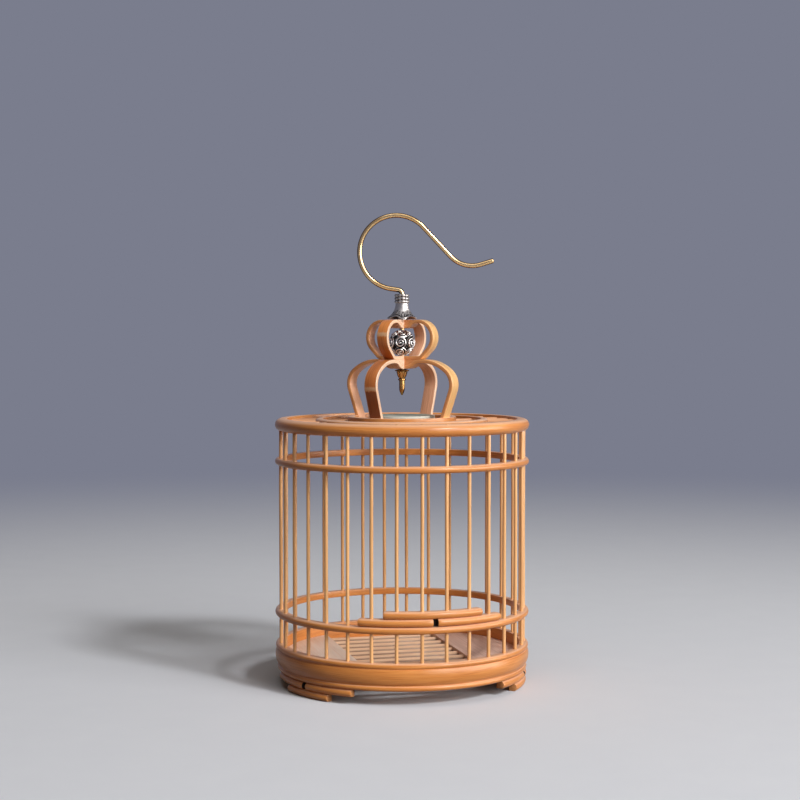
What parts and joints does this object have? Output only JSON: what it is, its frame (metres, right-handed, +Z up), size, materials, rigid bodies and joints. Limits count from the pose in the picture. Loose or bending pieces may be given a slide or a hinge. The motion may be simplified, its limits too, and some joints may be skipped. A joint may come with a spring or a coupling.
{
  "type": "chinese cricket cage",
  "caption": "Round flat-topped bamboo cage with a lifting barred door, a gourd-shaped claw of bent strips, a carved bead and a swivelling brass hook for hanging.",
  "frame": {"origin": "on the cage axis, in the plane the feet stand on", "axes": "+Z up along the cage axis, the door towards -Y"},
  "size_m": [0.085, 0.085, 0.157],
  "materials": {
    "bamboo": "polished amber bamboo",
    "bamboo_bar": "polished round rod",
    "bamboo_claw": "polished bamboo skin",
    "bamboo_pale": "smooth cut bamboo",
    "brass": "polished",
    "silver": "antiqued silver with dark recesses",
    "plate": "polished"
  },
  "bodies": {
    "cage": {"base_hoop": "bamboo", "foot_left": "bamboo", "foot_right": "bamboo", "foot_back": "bamboo", "lower_hoop": "bamboo", "upper_hoop": "bamboo", "top_rim": "bamboo", "top_middle_ring": "bamboo", "top_inner_ring": "bamboo", "top_plate": "plate", "top_outer_spokes": "bamboo_bar", "top_inner_spokes": "bamboo_bar", "floor_board_left": "bamboo_pale", "floor_board_right": "bamboo_pale", "floor_slats": "bamboo_pale", "sill_bars": "bamboo_bar", "claw_leg_strip_a": "bamboo_claw", "claw_leg_strip_b": "bamboo_claw", "claw_gourd_strip_a": "bamboo_claw", "claw_gourd_strip_b": "bamboo_claw", "claw_waist_block": "bamboo_pale", "bar_1": "bamboo_bar", "bar_2": "bamboo_bar", "bar_3": "bamboo_bar", "bar_4": "bamboo_bar", "bar_5": "bamboo_bar", "bar_6": "bamboo_bar", "bar_7": "bamboo_bar", "bar_8": "bamboo_bar", "bar_9": "bamboo_bar", "bar_10": "bamboo_bar", "bar_11": "bamboo_bar", "bar_12": "bamboo_bar", "bar_13": "bamboo_bar", "bar_14": "bamboo_bar", "bar_15": "bamboo_bar", "bar_16": "bamboo_bar", "bar_17": "bamboo_bar", "bar_18": "bamboo_bar", "bar_19": "bamboo_bar", "bar_20": "bamboo_bar", "bar_21": "bamboo_bar", "bar_22": "bamboo_bar", "bar_23": "bamboo_bar", "bar_24": "bamboo_bar", "bar_25": "bamboo_bar", "bar_26": "bamboo_bar", "bar_27": "bamboo_bar", "bar_28": "bamboo_bar"},
    "door": {"door_rail_long": "bamboo", "door_rail_short": "bamboo", "door_bar_1": "bamboo_bar", "door_bar_2": "bamboo_bar", "door_bar_3": "bamboo_bar", "door_bar_4": "bamboo_bar"},
    "hook": {"hook": "brass", "hook_cap": "silver", "hook_finial": "brass"},
    "bead": {"bead": "silver"}
  },
  "joints": [
    {"name": "door_slide", "type": "slide", "parent": "cage", "child": "door", "axis": [0, 0, 1], "range_m": [0, 0.0429]},
    {"name": "hook_swivel", "type": "hinge", "parent": "cage", "child": "hook", "pos_m": [0, 0, 0.1137], "axis": [0, 0, 1], "continuous": true},
    {"name": "bead_spin", "type": "hinge", "parent": "hook", "child": "bead", "pos_m": [0, 0, 0.1137], "axis": [0, 0, 1], "continuous": true}
  ]
}
